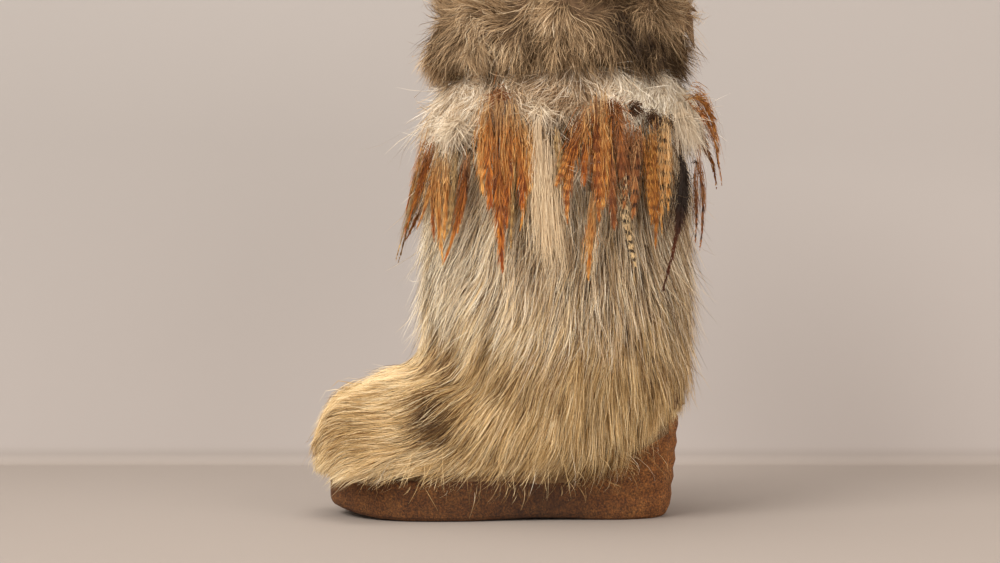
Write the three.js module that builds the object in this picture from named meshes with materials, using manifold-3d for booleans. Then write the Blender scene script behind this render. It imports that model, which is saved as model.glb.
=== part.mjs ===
import * as THREE from "three";
import Module from "manifold-3d";

// A tall left fur boot, in millimetres. +Z is up, the toe points to -Y, the outer side to +X,
// and the origin is on the ground under the middle of the heel.

const wasm = await Module();
wasm.setup();

// Driving dimensions
const LENGTH = 275;
const BALL_WIDTH = 100;
const HEEL_BACK = 38;
const HEEL_SEAT = 45;
const BALL_SEAT = 24;
const TOE_SEAT = 33;
const COLLAR_HEIGHT = 417;
const SHAFT_DEPTH = 147;
const SHAFT_WIDTH = 125;
const WALL = 2.5;
const GAP = 0.3;
const TOE_SPRING = 9;
const ARCH_LIFT = 2;
const HEEL_LEAN = 8;
const RIB_COUNT = 4;
const RIB_DEPTH = 1.4;
const INSOLE_THICKNESS = 3;
const SHAFT_SEAM = 150;
const BAND_LOW = 300;
const SEAM_LOW = 341.7;
const SEAM_HIGH = 344;
const CUFF_TOP = 424;

// How finely the curved forms are cut
const AROUND = 24;
const HAIR_AROUND = 20;
const SOLE_AROUND = 32;

const along = (share) => HEEL_BACK - share * LENGTH;
const clamp01 = (value) => Math.min(1, Math.max(0, value));
const smooth = (low, high, value) => THREE.MathUtils.smoothstep(value, low, high);

// A table of rows becomes a smooth function of the row number, which gives an object with the
// columns' names.
function smoothTable(columns, rows) {
  const numbers = rows.map((row, index) => index);
  const spline = new THREE.CubicInterpolant(numbers, rows.flat(), columns.length);
  const last = rows.length - 1;
  const at = (place) => {
    const values = spline.evaluate(Math.min(last, Math.max(0, place)));
    return Object.fromEntries(columns.map((name, index) => [name, values[index]]));
  };
  return { at, last };
}

// Solids

// Rings of points, all with the same count, become one closed solid. Each end is closed by a fan
// round its own middle, or round a tip that stands out from it.
function loft(rings, startTip, endTip) {
  const count = rings[0].length;
  const middle = (ring) => ring[0].map((_, axis) =>
    ring.reduce((sum, point) => sum + point[axis], 0) / count);
  const points = rings.flat();
  const first = points.length;
  points.push(startTip ?? middle(rings[0]));
  points.push(endTip ?? middle(rings[rings.length - 1]));
  const faces = [];
  for (let ring = 0; ring + 1 < rings.length; ring++) {
    for (let k = 0; k < count; k++) {
      const a = ring * count + k;
      const b = ring * count + ((k + 1) % count);
      faces.push([a, b, b + count], [a, b + count, a + count]);
    }
  }
  const top = (rings.length - 1) * count;
  for (let k = 0; k < count; k++) {
    const next = (k + 1) % count;
    faces.push([first, next, k], [first + 1, top + k, top + next]);
  }
  return closedSolid(points, faces);
}

// A closed mesh becomes a solid, with its faces turned outwards.
function closedSolid(points, faces) {
  const build = (list) => new wasm.Manifold(new wasm.Mesh({
    numProp: 3,
    vertProperties: new Float32Array(points.flat()),
    triVerts: new Uint32Array(list.flat()),
  }));
  const solid = build(faces);
  return solid.volume() < 0 ? build(faces.map(([a, b, c]) => [a, c, b])) : solid;
}

function joined(solids) {
  return solids.reduce((sum, solid) => sum.add(solid));
}

function piece(name, solid, colour, roughness) {
  const { vertProperties, triVerts } = solid.getMesh();
  const geometry = new THREE.BufferGeometry();
  geometry.setAttribute("position", new THREE.BufferAttribute(new Float32Array(vertProperties), 3));
  geometry.setIndex(new THREE.BufferAttribute(new Uint32Array(triVerts), 1));
  const material = new THREE.MeshStandardMaterial({ color: colour, roughness, metalness: 0 });
  const mesh = new THREE.Mesh(geometry, material);
  mesh.name = name;
  return mesh;
}

// Sole lines, a row for each eighth of the length from the heel's back to the toe: the heights of
// the seat and of the rim, the outer and inner edge as shares of the ball width, and the sideways
// place of the middle line.
const SOLE_LINES = smoothTable(
  ["seat", "rim", "outer", "inner", "middle"],
  [
    [HEEL_SEAT + 1, 80, 0.34, 0.34, 0],
    [HEEL_SEAT, 60, 0.375, 0.365, 0],
    [41, 45, 0.385, 0.345, 1],
    [34, 38, 0.40, 0.3, 3],
    [28, 34, 0.44, 0.335, 3],
    [BALL_SEAT, 31, 0.495, 0.43, 1],
    [BALL_SEAT, 31, 0.5, 0.5, -2],
    [27, 32, 0.45, 0.52, -6],
    [TOE_SEAT, 36, 0.34, 0.5, -9],
  ],
);
const soleLines = (y) => SOLE_LINES.at((SOLE_LINES.last * (HEEL_BACK - y)) / LENGTH);
const seatHeight = (y) => soleLines(y).seat;

// The underside: flat at heel and forefoot, lifted a little in the arch, curled up at the toe.
const HEEL_FLAT_END = -28;
const BALL_FLAT_START = -118;
const BALL_FLAT_END = -172;
const ARCH_BLEND = 32;
function underside(y) {
  const arch = (1 - smooth(HEEL_FLAT_END - ARCH_BLEND, HEEL_FLAT_END, y))
    * smooth(BALL_FLAT_START, BALL_FLAT_START + ARCH_BLEND, y);
  const toe = clamp01((BALL_FLAT_END - y) / (BALL_FLAT_END - along(1)));
  return ARCH_LIFT * arch + TOE_SPRING * toe * toe;
}

// One point of the sole's outline. The turn runs once round from the heel's back over the outer
// side, and the inset pulls the whole outline in.
const HEEL_ROUND = 42;
const TOE_ROUND = 78;
const END_POWER = 2.2;
function endRound(distance, reach) {
  const left = 1 - clamp01(distance / reach);
  return (1 - left ** END_POWER) ** (1 / END_POWER);
}
function outlinePoint(turn, inset) {
  const angle = 2 * Math.PI * turn;
  const half = LENGTH / 2;
  const y = HEEL_BACK - half + half * Math.cos(angle);
  const lines = soleLines(y);
  const outer = Math.sin(angle) >= 0;
  const edge = (outer ? lines.outer : -lines.inner) * BALL_WIDTH - lines.middle;
  const round = endRound(HEEL_BACK - y, HEEL_ROUND) * endRound(y - along(1), TOE_ROUND);
  const x = lines.middle + edge * round * (1 - (2 * inset) / BALL_WIDTH);
  return { x, y: HEEL_BACK - half + (half - inset) * Math.cos(angle) };
}

// A slab on the sole's outline: for each level, how far its ring is inset and its height at y.
function outlineSlab(levels, count) {
  const rings = levels.map((level) =>
    Array.from({ length: count }, (_, k) => {
      const { x, y } = outlinePoint(k / count, level.inset);
      return level.place(x, y);
    }));
  const points = rings.flat();
  const faces = [];
  for (let ring = 0; ring + 1 < rings.length; ring++) {
    for (let k = 0; k < count; k++) {
      const a = ring * count + k;
      const b = ring * count + ((k + 1) % count);
      faces.push([a, b, b + count], [a, b + count, a + count]);
    }
  }
  // Top and bottom are strips across, from a point of the outer side to its twin inside
  const top = (rings.length - 1) * count;
  for (let k = 0; k < count / 2; k++) {
    const twin = (count - k) % count;
    const strip = [[k, twin, twin - 1], [k, twin - 1, k + 1]]
      .map((face) => face.map((corner) => (corner + count) % count))
      .filter((face) => new Set(face).size === 3);
    faces.push(...strip);
    faces.push(...strip.map(([a, b, c]) => [top + a, top + c, top + b]));
  }
  return closedSolid(points, faces);
}

// Crepe wedge sole before the upper's place is cut out of it: a round lower edge, sides that lean
// out at the heel, ribs round the heel, and a rim that climbs behind it. A level is its share of
// the side's height and how far it is inset, and ribs fill the levels between.
const EDGE_LEVELS = [[0, 5], [0.03, 2.2], [0.1, 0.4]];
const RIM_LEVELS = [[0.96, 0.3], [1, 2]];
const RIBS_FROM = 0.2;
const RIBS_TO = 0.88;
const RIBS_FADE_START = -30;
const RIBS_FULL = 12;
function soleBlock({ grow = 0, ribCount = RIB_COUNT, ribDepth = RIB_DEPTH } = {}) {
  const ribs = Array.from({ length: 2 * ribCount + 1 }, (_, k) => {
    const share = RIBS_FROM + ((RIBS_TO - RIBS_FROM) * k) / (2 * ribCount);
    return [share, 0, k % 2];
  });
  const levels = [...EDGE_LEVELS, ...ribs, ...RIM_LEVELS].map(([share, inset, trough = 0]) => ({
    inset: inset - grow,
    place: (x, y) => {
      const heel = smooth(RIBS_FADE_START, RIBS_FULL, y);
      const low = underside(y) - grow;
      const z = low + share * (soleLines(y).rim + grow - low);
      const rib = ribDepth * trough * heel;
      return [x * (1 - (2 * rib) / BALL_WIDTH), y - heel * HEEL_LEAN * (1 - share) ** 1.5 - rib, z];
    },
  }));
  return outlineSlab(levels, SOLE_AROUND);
}

// Forms of foot and shaft. Their sections run from the toe, fan round the instep and end level at
// the top. A row is one flat section: where it meets the front line and the back line of the side
// view, its outer and inner half width, the sideways shift of its middle, how far from its back
// end it is widest, as a share, and how square its back end is, where 2 is an ellipse.
const FORM_COLUMNS = [
  "frontY", "frontZ", "backY", "backZ", "outer", "inner", "shift", "widest", "square",
];
const FRONT_SQUARE = 2.1;
const TOE_ROWS = 3;

// One point of a section. The turn runs once round from the back end over the outer side.
function sectionPoint(section, turn, grow) {
  const angle = 2 * Math.PI * turn;
  const toFront = -Math.cos(angle);
  const toSide = Math.sin(angle);
  const power = 2 / (toFront < 0 ? section.square : FRONT_SQUARE);
  const reach = Math.abs(toFront) ** power;
  const width = (toSide > 0 ? section.outer : section.inner) + grow;
  const share = toFront < 0
    ? section.widest * (1 - reach)
    : section.widest + (1 - section.widest) * reach;
  const deepY = section.frontY - section.backY;
  const deepZ = section.frontZ - section.backZ;
  const depth = Math.hypot(deepY, deepZ);
  const place = (share * (depth + 2 * grow) - grow) / depth;
  return [
    section.shift + Math.sign(toSide) * Math.abs(toSide) ** power * width,
    section.backY + place * deepY,
    section.backZ + place * deepZ,
  ];
}

// A point on a form that is grown or shrunk evenly, its toe end too.
function formPoint(form, place, turn, grow = 0) {
  const [x, y, z] = sectionPoint(form.at(place), turn, grow);
  return [x, y - grow * clamp01(1 - place / TOE_ROWS), z];
}

// A form as a solid, which may carry on straight up above its last section.
function formSolid(form, { grow = 0, above = 0, around = AROUND } = {}) {
  const rings = Array.from({ length: form.last + 1 }, (_, place) =>
    Array.from({ length: around }, (_, k) => formPoint(form, place, k / around, grow)));
  if (above > 0) rings.push(rings[form.last].map(([x, y, z]) => [x, y, z + above]));
  return loft(rings);
}

// The hide of foot and shaft, on its outside
const SHAFT_BACK = HEEL_BACK - 10;
const SHAFT_FRONT = SHAFT_BACK - SHAFT_DEPTH;
const halfShaft = SHAFT_WIDTH / 2;
const UPPER_FORM = smoothTable(FORM_COLUMNS, [
  [-229, 52, -229, 38, 9, 9, -9, 0.5, 2.2],
  [-226, 61, -226, seatHeight(-226), 21, 21, -8, 0.4, 2.8],
  [-217, 70, -217, seatHeight(-217), 33, 33, -8, 0.35, 6],
  [-200, 78, -200, seatHeight(-200), 42, 42, -6, 0.3, 12],
  [-173, 88, -174, seatHeight(-174), 46, 46, -2, 0.26, 12],
  [-149, 102, -140, seatHeight(-140), 46, 42, 1, 0.24, 12],
  [-134, 118, -98, seatHeight(-98), 41, 34, 2, 0.22, 12],
  [-126, 134, -50, seatHeight(-50), 38, 31, 2, 0.2, 12],
  [-122, 150, 0, HEEL_SEAT, 37, 35, 1, 0.3, 8],
  [-120, 166, 26, 53, 39, 38, 0, 0.4, 3],
  [-119, 184, 32, 78, 45, 44, 0, 0.45, 2.3],
  [-118, 208, 30, 120, 51, 50, 0, 0.5, 2.1],
  [-118, 240, SHAFT_BACK, 185, 57, 56, 0, 0.5, 2.1],
  [SHAFT_FRONT, 300, SHAFT_BACK, 290, halfShaft, halfShaft - 1, 0, 0.5, 2.1],
  [SHAFT_FRONT, COLLAR_HEIGHT, SHAFT_BACK, COLLAR_HEIGHT, halfShaft, halfShaft - 1, 0, 0.5, 2.1],
]);

// A slab on the sole's outline that follows the seat, from one height over it to another.
function seatSlab(inset, low, high) {
  return outlineSlab([low, high].map((height) => ({
    inset,
    place: (x, y) => [x, y, seatHeight(y) + height],
  })), SOLE_AROUND);
}

// The hide is a thin wall. It turns in under the foot by a narrow lip and leaves the bottom open
// inside it.
const BOTTOM_LIP = 7;
const PAST = 5;
const UP = [0, 0, 1];
const DOWN = [0, 0, -1];
function hide() {
  const outside = formSolid(UPPER_FORM);
  const inside = formSolid(UPPER_FORM, { grow: -WALL, above: PAST });
  const opening = seatSlab(BOTTOM_LIP + WALL, -2 * PAST, 2 * PAST);
  return outside.subtract(inside).subtract(opening);
}

// The upper covers the foot, and the shaft is sewn onto it at the ankle.
function upper() {
  return hide().trimByPlane(DOWN, -(SHAFT_SEAM - GAP / 2));
}

function shaft() {
  return hide().trimByPlane(UP, SHAFT_SEAM + GAP / 2);
}

// All that lies inside the upper's outside, with a gap round it, to cut out of what goes round it
const upperPlace = (above) => formSolid(UPPER_FORM, { grow: GAP, above });

function sole() {
  return soleBlock().subtract(upperPlace(PAST));
}

function insole() {
  const layer = seatSlab(BOTTOM_LIP + WALL + 2 * GAP, GAP, GAP + INSOLE_THICKNESS);
  return layer.intersect(formSolid(UPPER_FORM, { grow: -GAP / 3 }));
}

// Hair

const vector = (point) => new THREE.Vector3(...point);

// The surface of a form at one place: the point, the way out of it, and the way that hair lies,
// which is down the shaft and on along the foot to the toe.
const PLACE_STEP = 0.15;
const TURN_STEP = 0.01;
function surfaceAt(form, place, turn) {
  const point = vector(formPoint(form, place, turn));
  const onward = vector(formPoint(form, place - PLACE_STEP, turn));
  const back = vector(formPoint(form, place + PLACE_STEP, turn));
  const beside = vector(formPoint(form, place, turn + TURN_STEP)).sub(point);
  const lie = onward.sub(back).normalize();
  const out = new THREE.Vector3().crossVectors(beside, lie).normalize();
  return { point, lie, out };
}

// A lock of hair is a three-sided spike that starts inside its form, bends out and ends free.
// Drop turns its lie from the form's own towards straight down.
const LOCK_DEPTH = 4;
const THREE_SIDES = [[1, -0.3], [0, 0.6], [-1, -0.3]];
function lock(form, { place, turn, length, width, lift, drop = 0 }) {
  const { point, lie, out } = surfaceAt(form, place, turn);
  const way = lie.lerp(vector(DOWN), drop).normalize();
  const side = new THREE.Vector3().crossVectors(way, out).normalize();
  const ring = (share, rise, size) => {
    const middle = point.clone().addScaledVector(way, share * length).addScaledVector(out, rise);
    return THREE_SIDES.map(([across, up]) =>
      middle.clone()
        .addScaledVector(side, (across * size) / 2)
        .addScaledVector(out, (up * size) / 2)
        .toArray());
  };
  const tip = point.clone().addScaledVector(way, 0.75 * length).addScaledVector(out, lift);
  return loft([ring(-0.25, -LOCK_DEPTH, width), ring(0.25, lift / 3, width)], null, tip.toArray());
}

// Rows of locks: each row says where it lies on the form, how many locks it has from one turn to
// the other, and their size. Every lock varies a little.
const LOCK_COLUMNS = ["place", "fromTurn", "toTurn", "count", "length", "width", "lift", "drop"];
function lockRows(form, rows) {
  const vary = (spread) => 1 + spread * (THREE.MathUtils.seededRandom() - 0.5);
  return rows.flatMap((numbers) => {
    const row = Object.fromEntries(LOCK_COLUMNS.map((name, index) => [name, numbers[index]]));
    return Array.from({ length: row.count }, (_, k) =>
      lock(form, {
        place: row.place * vary(0.04),
        turn: THREE.MathUtils.lerp(row.fromTurn, row.toTurn, (k + 0.5 * vary(0.8)) / row.count),
        length: row.length * vary(0.5),
        width: row.width * vary(0.4),
        lift: row.lift * vary(0.6),
        drop: row.drop,
      }));
  });
}

// The long hair of foot and shaft, as far as its even part reaches
const HAIR_FORM = smoothTable(FORM_COLUMNS, [
  [-242, 62, -242, 42, 14, 14, -9, 0.5, 2.2],
  [-238, 77, -238, 35, 29, 28, -8, 0.4, 2.8],
  [-227, 93, -227, 31, 43, 42, -6, 0.35, 3.4],
  [-208, 104, -206, 28, 52, 52, -4, 0.3, 3.6],
  [-190, 110, -178, 26, 58, 56, -1, 0.3, 3.6],
  [-179, 118, -146, 24, 61, 56, 0, 0.3, 3.6],
  [-171, 132, -100, 23, 57, 50, 1, 0.28, 3.6],
  [-166, 148, -50, 25, 54, 50, 1, 0.28, 3.4],
  [-163, 166, 0, 36, 56, 54, 0, 0.32, 3],
  [-162, 184, 29, 58, 60, 59, 0, 0.4, 2.6],
  [-162, 203, 43, 88, 67, 66, 0, 0.45, 2.3],
  [-162, 225, 49, 128, 75, 74, 0, 0.5, 2.1],
  [-162, 255, 52, 190, 83, 82, 0, 0.5, 2.1],
  [-158, BAND_LOW - GAP, 50, BAND_LOW - GAP, 86, 85, 0, 0.5, 2.1],
]);
const HAIR_LOCKS = [
  // round the toe
  [0.9, 0.2, 0.8, 7, 30, 14, 4, 0.1],
  [2.1, 0.14, 0.86, 9, 44, 17, 6, 0.05],
  // over the instep
  [3.7, 0.34, 0.66, 4, 52, 17, 6, 0],
  [5.6, 0.36, 0.64, 3, 60, 18, 7, 0],
  // on the sides of the foot
  [4.4, 0.2, 0.3, 1, 60, 20, 5, 0.3],
  [4.4, 0.7, 0.8, 1, 60, 20, 5, 0.3],
  // low on the shaft and behind the heel
  [8.8, 0.12, 0.38, 3, 66, 22, 6, 0.3],
  [8.8, 0.62, 0.88, 3, 66, 22, 6, 0.3],
  [10.3, -0.09, 0.09, 4, 46, 18, 8, 0.3],
  [10.6, 0.1, 0.5, 4, 70, 22, 6, 0.2],
  [10.6, 0.5, 0.9, 4, 70, 22, 6, 0.2],
];
// Locks that hang over the sole, the same on both sides: where along the form, and how long
const HEM_LOCKS = [
  [2.6, 24], [3.5, 27], [4.3, 31], [5, 34], [5.7, 36], [6.4, 36], [7.2, 36], [8.1, 34],
];
const hemRows = HEM_LOCKS.flatMap(([place, length]) => [
  [place, 0.13, 0.17, 1, length, 14, 4, 0.9],
  [place, 0.83, 0.87, 1, length, 14, 4, 0.9],
]);

// No lock hangs lower than this
const HAIR_LOWEST = 2;

function bodyHair() {
  const core = formSolid(HAIR_FORM, { around: HAIR_AROUND });
  return joined([core, ...lockRows(HAIR_FORM, [...HAIR_LOCKS, ...hemRows])])
    .subtract(upperPlace(PAST))
    .subtract(soleBlock({ grow: GAP, ribCount: 2, ribDepth: 0 }))
    .trimByPlane(UP, HAIR_LOWEST);
}

// Level rings round the shaft: the downy band, and the cuff above it
const levelRow = (z, front, back, outer) => [front, z, back, z, outer, outer - 1, 0, 0.5, 2.1];
const BAND_FORM = smoothTable(FORM_COLUMNS, [
  levelRow(BAND_LOW, -150, 43, 79),
  levelRow(BAND_LOW + 12, -155, 49, 84),
  levelRow(BAND_LOW + 26, -153, 47, 82),
  levelRow(SEAM_LOW, -143, 38, 74),
]);
const CUFF_FORM = smoothTable(FORM_COLUMNS, [
  levelRow(SEAM_HIGH, -146, 38, 76),
  levelRow(SEAM_HIGH + 10, -159, 46, 88),
  levelRow(SEAM_HIGH + 24, -158, 48, 90),
  levelRow(SEAM_HIGH + 50, -147, 50, 87),
  levelRow(SEAM_HIGH + 70, -138, 50, 82),
  levelRow(CUFF_TOP, -130, 40, 74),
]);
const CUFF_LOCKS = [
  [2, 0, 1, 10, 24, 18, 9, 0],
  [3.1, 0, 1, 10, 40, 20, 13, 0],
  [4.3, 0, 1, 8, 34, 20, 11, 0],
];

function band() {
  return formSolid(BAND_FORM, { around: HAIR_AROUND })
    .subtract(upperPlace(PAST));
}

function cuff() {
  const core = formSolid(CUFF_FORM, { around: HAIR_AROUND });
  return joined([core, ...lockRows(CUFF_FORM, CUFF_LOCKS)])
    .subtract(upperPlace(2 * (CUFF_TOP - COLLAR_HEIGHT)));
}

// Feathers

// The surface that feathers hang on, just clear of band and hair, in level rows of equal height
const HANG_LOW = 160;
const HANG_STEP = (SEAM_HIGH - HANG_LOW) / 4;
const HANG_FORM = smoothTable(FORM_COLUMNS, [
  levelRow(HANG_LOW, -167, 57, 86),
  levelRow(HANG_LOW + HANG_STEP, -167, 58, 88),
  levelRow(HANG_LOW + 2 * HANG_STEP, -166, 58, 90),
  levelRow(HANG_LOW + 3 * HANG_STEP, -163, 56, 91),
  levelRow(SEAM_HIGH, -149, 44, 80),
]);
const SEAM_MIDDLE = (SEAM_LOW + SEAM_HIGH) / 2;
const TAB_THICKNESS = SEAM_HIGH - SEAM_LOW - 2.3 * GAP;
const FEATHER_THICKNESS = 1.5;

// An azimuth is in degrees round the shaft, from the front over the outer side.
const turnAt = (azimuth) => 0.5 - azimuth / 360;
function hangPoint(azimuth, height, lift) {
  const section = HANG_FORM.at((height - HANG_LOW) / HANG_STEP);
  return vector(sectionPoint(section, turnAt(azimuth), lift));
}

// How wide a feather is at each share of its length, as a share of its greatest width
const FEATHER_WIDTHS = [[0, 0.35], [0.09, 0.5], [0.24, 0.85], [0.52, 1], [0.8, 0.7]];

// A feather leaves its tab, turns down over the band and hangs, narrow at its quill and its tip.
function feather({ root, tip, tipHeight, width, lift }) {
  const spot = (share) => {
    const swing = share * share * (3 - 2 * share);
    const height = THREE.MathUtils.lerp(SEAM_MIDDLE, tipHeight, share);
    return hangPoint(THREE.MathUtils.lerp(root, tip, swing), height, lift * swing - 2 * (1 - share) ** 8);
  };
  const rings = FEATHER_WIDTHS.map(([share, wide]) => {
    const middle = spot(share);
    const way = spot(share + 0.05).sub(middle).normalize();
    const inward = new THREE.Vector3(0, (SHAFT_FRONT + SHAFT_BACK) / 2, middle.z).sub(middle);
    const side = new THREE.Vector3().crossVectors(way, inward).normalize();
    const out = new THREE.Vector3().crossVectors(side, way).normalize();
    return THREE_SIDES.map(([across, up]) =>
      middle.clone()
        .addScaledVector(side, (across * wide * width) / 2)
        .addScaledVector(out, up * FEATHER_THICKNESS)
        .toArray());
  });
  return loft(rings, null, spot(1).toArray());
}

// The stitched tab of a tuft lies flat in the seam between band and cuff.
const TAB_MARGIN = 2.5;
const TAB_STEPS = 3;
function tab(fromAzimuth, toAzimuth) {
  const seam = HANG_FORM.at((SEAM_MIDDLE - HANG_LOW) / HANG_STEP);
  const hide = UPPER_FORM.at(UPPER_FORM.last);
  const half = TAB_THICKNESS / 2;
  const rings = Array.from({ length: TAB_STEPS + 1 }, (_, k) => {
    const turn = turnAt(THREE.MathUtils.lerp(fromAzimuth, toAzimuth, k / TAB_STEPS));
    const [innerX, innerY] = sectionPoint(hide, turn, 2 * GAP);
    const [outerX, outerY] = sectionPoint(seam, turn, -0.5);
    return [
      [innerX, innerY, SEAM_MIDDLE - half], [outerX, outerY, SEAM_MIDDLE - half],
      [outerX, outerY, SEAM_MIDDLE + half], [innerX, innerY, SEAM_MIDDLE + half],
    ];
  });
  return loft(rings);
}

// Tufts on the outer side, from the front to the back. A row is one feather: its azimuth at root
// and tip, how high its tip hangs, its width, and how far its tip stands off.
const FEATHER_COLUMNS = ["root", "tip", "tipHeight", "width", "lift"];
const OUTER_TUFTS = [
  [[13, 1, 195, 7, 22], [19, 10, 214, 7, 6]],
  [[36, 27, 205, 8, 1], [43, 30, 195, 6, 5]],
  [[57, 55, 237, 7, 1], [62, 63, 190, 9, 3], [67, 68, 214, 8, 1], [70, 65, 203, 5, 6]],
  [[77, 74, 243, 6, 3], [82, 84, 170, 12, 2]],
  [[95, 87, 262, 8, 2], [97, 89, 225, 7, 5], [101, 99, 228, 8, 2], [103, 97, 188, 5, 5]],
  [[109, 106, 236, 7, 2], [112, 118, 192, 7, 4], [117, 114, 233, 8, 1]],
  [[127, 127, 208, 9, 2], [132, 134, 234, 8, 1]],
  [[143, 133, 176, 13, 8], [149, 157, 214, 6, 4]],
  [[163, 168, 197, 7, 2], [171, 179, 260, 8, 17]],
];
// The hidden side carries the same tufts as the outer side, but for those next to front and back.
const mirrorRow = ([root, tip, ...sizes]) => [360 - root, 360 - tip, ...sizes];
const INNER_TUFTS = OUTER_TUFTS.slice(1, -1).map((rows) => rows.map(mirrorRow).reverse()).reverse();

function tuft(rows) {
  const feathers = rows.map((numbers) =>
    Object.fromEntries(FEATHER_COLUMNS.map((name, index) => [name, numbers[index]])));
  const roots = feathers.map(({ root }) => root);
  const base = tab(Math.min(...roots) - TAB_MARGIN, Math.max(...roots) + TAB_MARGIN);
  return joined([base, ...feathers.map(feather)]);
}

THREE.MathUtils.seededRandom(11);
const boot = new THREE.Group();
boot.add(piece("crepe_sole", sole(), 0x6b4629, 0.9));
boot.add(piece("upper", upper(), 0xb59a78, 0.85));
boot.add(piece("shaft", shaft(), 0xb59a78, 0.85));
boot.add(piece("insole", insole(), 0x8a7660, 0.95));
boot.add(piece("body_hair", bodyHair(), 0xb39468, 0.9));
boot.add(piece("downy_band", band(), 0xcbb08e, 0.95));
boot.add(piece("cuff", cuff(), 0x8c705a, 0.95));
[...OUTER_TUFTS, ...INNER_TUFTS].forEach((rows, index) => {
  const number = String(index + 1).padStart(2, "0");
  boot.add(piece(`feather_tuft_${number}`, tuft(rows), 0x9c5a28, 0.7));
});

export default boot;
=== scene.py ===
"""Looks of a tall left fur boot: long hair, a downy band, feathers, a fluffy cuff and a crepe sole.

Metres throughout. The toe points to -Y, the outer side to +X, and the camera looks along -X.
"""

import math
from collections import namedtuple

import bpy
import numpy as np
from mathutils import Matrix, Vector
from mathutils.bvhtree import BVHTree
from mathutils.kdtree import KDTree

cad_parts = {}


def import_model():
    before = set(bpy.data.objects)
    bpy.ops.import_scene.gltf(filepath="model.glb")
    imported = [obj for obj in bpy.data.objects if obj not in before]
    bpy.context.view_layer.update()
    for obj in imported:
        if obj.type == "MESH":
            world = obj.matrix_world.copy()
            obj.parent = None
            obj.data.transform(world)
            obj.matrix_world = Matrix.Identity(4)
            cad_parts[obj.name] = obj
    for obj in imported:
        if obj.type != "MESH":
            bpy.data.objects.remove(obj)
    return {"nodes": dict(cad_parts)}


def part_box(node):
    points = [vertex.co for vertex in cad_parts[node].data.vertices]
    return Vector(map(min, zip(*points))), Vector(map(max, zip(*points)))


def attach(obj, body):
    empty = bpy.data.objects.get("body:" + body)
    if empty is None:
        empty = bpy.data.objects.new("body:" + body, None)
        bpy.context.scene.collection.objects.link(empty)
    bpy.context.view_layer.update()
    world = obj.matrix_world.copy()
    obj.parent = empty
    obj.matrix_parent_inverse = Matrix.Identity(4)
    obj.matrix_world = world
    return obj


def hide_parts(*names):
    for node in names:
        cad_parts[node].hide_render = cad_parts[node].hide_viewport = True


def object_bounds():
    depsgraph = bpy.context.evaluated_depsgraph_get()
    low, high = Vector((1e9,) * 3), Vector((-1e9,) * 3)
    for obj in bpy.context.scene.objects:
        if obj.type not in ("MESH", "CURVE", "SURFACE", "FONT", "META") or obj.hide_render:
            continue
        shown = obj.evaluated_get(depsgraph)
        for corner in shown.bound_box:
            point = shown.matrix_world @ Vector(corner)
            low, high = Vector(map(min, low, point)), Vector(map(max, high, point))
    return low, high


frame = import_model()
CAD_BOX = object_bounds()
NODES = frame["nodes"]
MM = 0.001

# Places that the hair follows, taken from the frame
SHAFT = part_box("shaft")
SHAFT_TOP = SHAFT[1][2]
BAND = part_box("downy_band")
SHAFT_MIDDLE_Y = (BAND[0][1] + BAND[1][1]) / 2
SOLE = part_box("crepe_sole")


# Small helpers

def rgb(red, green, blue):
    """A colour given as a screen shows it, 0 to 255, as the linear value that shaders use."""
    shares = [value / 255 for value in (red, green, blue)]
    return [s / 12.92 if s <= 0.04045 else ((s + 0.055) / 1.055) ** 2.4 for s in shares] + [1.0]


BLACK = (0, 0, 0)
WHITE = (255, 255, 255)


def smooth(start, end, value):
    """A smooth step from 0 at the first value to 1 at the second."""
    share = np.clip((value - start) / (end - start), 0, 1)
    return share * share * (3 - 2 * share)


def unit(vectors):
    return vectors / np.maximum(np.linalg.norm(vectors, axis=-1, keepdims=True), 1e-9)


# Sine waves that smooth noise is made of
WAVES = 7


def waves(points, length, seed):
    """Smooth noise about -1 to 1 at the points, with bumps of about that length."""
    rng = np.random.default_rng(seed)
    ways = unit(rng.normal(size=(WAVES, 3)))
    lengths = length * rng.uniform(0.7, 1.6, WAVES)
    phases = rng.uniform(0, 2 * np.pi, WAVES)
    total = np.sin(2 * np.pi * (points @ ways.T) / lengths + phases).sum(axis=1)
    return total / math.sqrt(WAVES / 1.2)


def with_noise(values, points, noises):
    """Values with smooth noises added, each given as its strength, length and seed."""
    for strength, length, seed in noises:
        values = values + strength * waves(points, length, seed)
    return values


def add_object(name, data):
    thing = bpy.data.objects.new(name, data)
    bpy.context.scene.collection.objects.link(thing)
    return thing


# Materials

def node_material(name):
    material = bpy.data.materials.new(name)
    material.use_nodes = True
    tree = material.node_tree
    return material, tree, tree.nodes["Principled BSDF"]


def feed(tree, value, socket):
    """Feeds a socket from another one, or with a plain value."""
    if isinstance(value, bpy.types.NodeSocket):
        tree.links.new(value, socket)
    else:
        socket.default_value = value


def add_node(tree, kind, **inputs):
    """A new node, with some of its inputs fed."""
    node = tree.nodes.new("ShaderNode" + kind)
    for name, value in inputs.items():
        feed(tree, value, node.inputs[name])
    return node


def ramp(tree, factor, stops):
    """A colour ramp over stops, each a place from 0 to 1 and a colour as for rgb."""
    node = add_node(tree, "ValToRGB", Fac=factor)
    elements = node.color_ramp.elements
    while len(elements) < len(stops):
        elements.new(1.0)
    for element, (place, *colour) in zip(elements, stops):
        element.position = place
        element.color = rgb(*colour)
    return node.outputs["Color"]


def mixed_colour(tree, factor, first, second, how="MIX"):
    node = add_node(tree, "Mix")
    node.data_type = "RGBA"
    node.blend_type = how
    for index, value in ((0, factor), (6, first), (7, second)):
        feed(tree, value, node.inputs[index])
    return node.outputs[2]


def number(tree, how, *values):
    """A calculation with sockets or plain numbers."""
    node = add_node(tree, "Math")
    node.operation = how
    for socket, value in zip(node.inputs, values):
        feed(tree, value, socket)
    return node.outputs[0]


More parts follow.
